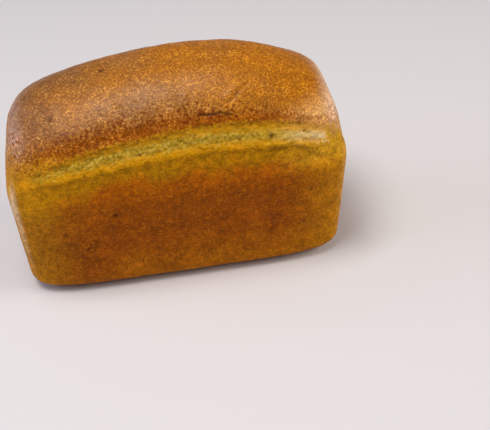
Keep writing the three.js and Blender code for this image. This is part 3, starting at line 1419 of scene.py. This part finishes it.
        # Painted light from the right pales the crumb at the right end.
        right_light_share = add_node(tree, RANGE, along, *torn.right_light_along, **SOFT)
        strength = (0.0, torn.border_strength)
        low = add_node(tree, RANGE, foot, *torn.border_low, *strength, **SOFT)
        reach = add_node(tree, RANGE, along, *torn.border_reach)
        high = add_node(tree, RANGE, head, reach, torn.border_high, *strength, **SOFT)
        edge = add_node(tree, MATH, low, high, operation="MAXIMUM")
        return painted(tree, base, [(right_light_share, torn.painted_right_light), (edge, torn.border)])

    def bump(self, tree: Tree, place: Node, on_crown: Node, on_torn: Node) -> Node:
        """The grain too fine for the mesh.

        Args:
            tree: The tree to add to.
            place: Each point's place, in millimetres.
            on_crown: Where the crown's crust shows.
            on_torn: Where the bare crumb shows.

        Returns:
            The bumped normal. The grain's height, in millimetres, follows the zone.
        """
        fine_size, coarse_size = self.bump_sizes
        levels = (self.tin.grain_depth, self.torn.grain_depth, self.crown.grain_depth)
        depth = self.by_zone(tree, on_crown, on_torn, levels)
        fine = add_node(tree, NOISE, place, 1 / fine_size, DETAIL)
        coarse = add_node(tree, NOISE, place, 1 / coarse_size, BROAD_DETAIL)
        height = add_node(tree, MATH, fine, coarse)
        height = add_node(tree, MATH, height, depth, operation="MULTIPLY")
        raised = {"Height": height, "Distance": MM, "Strength": 1.0}
        return add_node(tree, "ShaderNodeBump", named=raised)


# ---------------------------------------------------------------------------------------
# The loaf and its studio
# ---------------------------------------------------------------------------------------


# Each mark's kind, its path from the middle of the bottom, its radius and its height, in
# millimetres.
MARKS = (
    CrustMark(MarkKind.PIT, ((-90, 3, 131),), 1.9, -1.2),
    CrustMark(MarkKind.BLISTER, ((-89, -11, 131),), 3.0, 0.9),
    CrustMark(MarkKind.PIT, ((-75, -25, 132),), 1.5, -0.9),
    CrustMark(MarkKind.PIT, ((-41, 1, 147),), 2.0, -1.0),
    CrustMark(MarkKind.BLISTER, ((-34, -29, 140),), 2.0, 0.7),
    CrustMark(MarkKind.PIT, ((-45, -50, 70),), 1.6, -1.9),
    CrustMark(MarkKind.FOLD, ((-54, -50, 70.5), (-48, -50, 70)), 1.2, -0.4),
    CrustMark(MarkKind.PIT, ((-78, -48, 57),), 1.2, -1.0),
    CrustMark(MarkKind.PIT, ((-66, -47, 42),), 1.1, -0.9),
    CrustMark(
        MarkKind.FOLD, ((33, -35, 135), (36, -33, 136.5), (40, -30, 139), (46, -26, 140)), 1.1, -0.9
    ),
    CrustMark(MarkKind.BLISTER, ((32, -33, 137), (35, -31, 138.5), (39, -28, 140.5)), 2.2, 0.8),
    CrustMark(MarkKind.FOLD, ((4, -32, 139), (2, -29, 142), (-1, -26, 144)), 1.1, -0.4),
    CrustMark(MarkKind.BLISTER, ((8, -36, 136), (7, -33, 139), (8, -29, 142)), 1.3, 0.55),
    CrustMark(MarkKind.BLISTER, ((-20, -38, 131), (-21, -36, 134), (-19, -33, 137)), 1.3, 0.5),
    CrustMark(MarkKind.BLISTER, ((-3, -38, 134), (-2, -37, 136)), 1.9, 0.6),
    CrustMark(MarkKind.BLISTER, ((-44, -36, 130), (-45, -33, 133)), 1.4, 0.5),
    CrustMark(
        MarkKind.CRACK, ((15, -39, 131), (20, -39, 130), (27, -39, 130.8), (33, -40, 129)), 0.75, -0.9
    ),
    CrustMark(MarkKind.BLISTER, ((14, -38, 133), (26, -38, 132), (38, -39, 130)), 2.6, 0.7),
    CrustMark(MarkKind.PIT, ((58, -46, 113),), 1.6, -1.2),
    CrustMark(MarkKind.FOLD, ((79, -47, 107), (88, -46, 105)), 1.1, -0.6),
    CrustMark(
        MarkKind.FOLD,
        ((57, -48, 104), (66, -48, 105), (73, -48, 104), (81, -48, 97), (96, -45, 87)),
        1.4,
        -0.8,
    ),
    CrustMark(
        MarkKind.BLISTER, ((58, -48, 109), (70, -48, 110), (80, -48, 104), (90, -47, 97)), 3.0, 0.6
    ),
)


@dataclass
class RyeLoaf:
    """The whole loaf: its shape, its relief and its finish."""

    corners: tuple[Vector, Vector]
    relief: CrustRelief = field(default_factory=CrustRelief)
    finish: BreadCrust = field(default_factory=BreadCrust)

    def shape(self) -> LoafShape:
        """The loaf's shape, as long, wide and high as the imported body.

        Returns:
            The shape.
        """
        low, high = self.corners
        length, width, height = [(b - a) * PER_METRE for a, b in zip(low, high)]
        return LoafShape(length=length, width=width, height=height, marks=MARKS)

    def build(self) -> bpy.types.Object:
        """Builds the loaf, dresses it, hangs it on the root body and hides the imported loaf.

        Returns:
            The finished piece.
        """
        points, fields = self.shape().points_and_fields()
        mesh = closed_mesh("loaf_skin", points, fields)
        piece = self.relief.apply(mesh, self.finish.material())
        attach(piece, "root")
        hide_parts("loaf")
        LOG.info("%s: %d faces", piece.name, len(piece.data.polygons))
        return piece


@dataclass
class Camera:
    """The camera, by where it stands, in millimetres, and how it is held, in degrees."""

    place: tuple[float, float, float] = (-31.5, -503.8, 461.5)
    heading: float = 8.742
    tilt: float = 41.488
    roll: float = 2.206
    lens: float = 68.93
    sensor: float = 36.0
    nearest: float = 10.0

    def build(self) -> bpy.types.Object:
        """Builds the camera and makes it the scene's own.

        Returns:
            The camera.
        """
        heading, tilt, roll = (math.radians(a) for a in (self.heading, self.tilt, self.roll))
        east, north = math.sin(heading), math.cos(heading)
        ahead = Vector((east * math.cos(tilt), north * math.cos(tilt), -math.sin(tilt)))
        level = Vector((north, -east, 0))
        down = ahead.cross(level)
        right = level * math.cos(roll) + down * math.sin(roll)
        up = level * math.sin(roll) - down * math.cos(roll)
        data = bpy.data.cameras.new("camera")
        data.lens = self.lens
        data.sensor_width = self.sensor
        data.clip_start = self.nearest * MM
        camera = bpy.data.objects.new("camera", data)
        turn = Matrix((right, up, -ahead)).transposed().to_4x4()
        camera.matrix_world = Matrix.Translation(Vector(self.place) * MM) @ turn
        bpy.context.scene.collection.objects.link(camera)
        bpy.context.scene.camera = camera
        return camera


@dataclass(frozen=True)
class SoftLight:
    """A rectangular soft box aimed at the middle of the loaf, with its sizes in metres."""

    name: str
    place: tuple[float, float, float]
    size: tuple[float, float]
    watts: float
    colour: str
    mirrored: bool = True  # whether a glossy surface shows it
    aim_height: float = 0.07

    def build(self) -> bpy.types.Object:
        """Builds the light.

        Returns:
            The light.
        """
        data = bpy.data.lights.new(self.name, "AREA")
        data.shape = "RECTANGLE"
        data.size, data.size_y = self.size
        data.energy = self.watts
        data.color = linear(self.colour)[:3]
        light = bpy.data.objects.new(self.name, data)
        place = Vector(self.place)
        light.location = place
        light.visible_glossy = self.mirrored
        beam = Vector((0, 0, self.aim_height)) - place
        light.rotation_euler = beam.to_track_quat("-Z", "Y").to_euler()
        bpy.context.scene.collection.objects.link(light)
        return light


@dataclass
class Studio:
    """A pale table top in soft light, with its sizes in metres."""

    floor_half: float = 2.5
    floor_gap: float = 0.0002
    floor_colour: str = "#cfcdcf"
    floor_roughness: float = 0.6
    floor_specular: float = 0.3
    air_colour: str = "#e4e0e6"
    air_strength: float = 0.28
    backdrop_strength: float = 0.85
    sweep: Span = (0.6, 2.0)
    lights: tuple[SoftLight, ...] = (
        SoftLight("overhead", (-0.26, -0.18, 1.2), (0.5, 0.5), 11.2, "#fffaf4"),
        SoftLight("window", (-1.5, 0.1, 0.75), (1.0, 0.9), 10.5, "#dce6ff"),
        SoftLight("lamp", (1.3, -0.4, 0.95), (0.9, 0.7), 14.5, "#fff6ea", mirrored=False),
    )

    def build(self) -> None:
        """Builds the floor, the lights and the air's glow."""
        half = self.floor_half
        mesh = bpy.data.meshes.new("table_top")
        flat = [(-half, -half), (half, -half), (half, half), (-half, half)]
        mesh.from_pydata([(x, y, -self.floor_gap) for x, y in flat], [], [(0, 1, 2, 3)])
        floor = bpy.data.objects.new("table_top", mesh)
        bpy.context.scene.collection.objects.link(floor)
        floor.data.materials.append(self.table_paint())
        for light in self.lights:
            light.build()
        world = bpy.data.worlds.new("air")
        world.use_nodes = True
        tree = world.node_tree
        tree.nodes.clear()
        # What the camera sees past the table is brighter than what lights the loaf.
        seen = add_node(tree, "ShaderNodeLightPath").outputs["Is Camera Ray"]
        strength = add_node(tree, MIX, seen, self.air_strength, self.backdrop_strength)
        glow = add_node(tree, "ShaderNodeBackground", linear(self.air_colour), strength)
        add_node(tree, "ShaderNodeOutputWorld", glow)
        scene = bpy.context.scene
        scene.world = world
        scene.view_settings.view_transform = "Standard"
        scene.view_settings.look = "None"

    def table_paint(self) -> bpy.types.Material:
        """Builds the table's material: matt white laminate.

        Returns:
            The material.
        """
        # A matt printed sheet: it shows the loaf's soft shadow and hardly mirrors it.
        material = bpy.data.materials.new("white_laminate")
        material.use_nodes = True
        tree = material.node_tree
        tree.nodes.clear()
        sheet = {
            "Base Color": linear(self.floor_colour),
            "Roughness": self.floor_roughness,
            "Specular IOR Level": self.floor_specular,
        }
        near = add_node(tree, "ShaderNodeBsdfPrincipled", named=sheet)
        # Far from the loaf the table runs into the bright backdrop, without a horizon.
        metres = add_node(tree, "ShaderNodeTexCoord").outputs["Object"]
        away = add_node(tree, VECTOR, metres, operation="LENGTH").outputs["Value"]
        share = add_node(tree, RANGE, away, *self.sweep, **SOFT)
        seen = add_node(tree, "ShaderNodeLightPath").outputs["Is Camera Ray"]
        share = add_node(tree, MATH, share, seen, operation="MULTIPLY")
        far = add_node(tree, "ShaderNodeEmission", linear(self.air_colour), self.backdrop_strength)
        both = add_node(tree, "ShaderNodeMixShader", share, near, far)
        add_node(tree, "ShaderNodeOutputMaterial", both)
        return material


def main() -> None:
    """Builds the camera, the loaf and the studio in order."""
    logging.basicConfig(level=logging.INFO, format="%(message)s")
    Camera().build()
    piece = RyeLoaf(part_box("loaf")).build()
    LOG.info("%s stands for the loaf", piece.name)
    Studio().build()


if __name__ == "__main__":
    main()
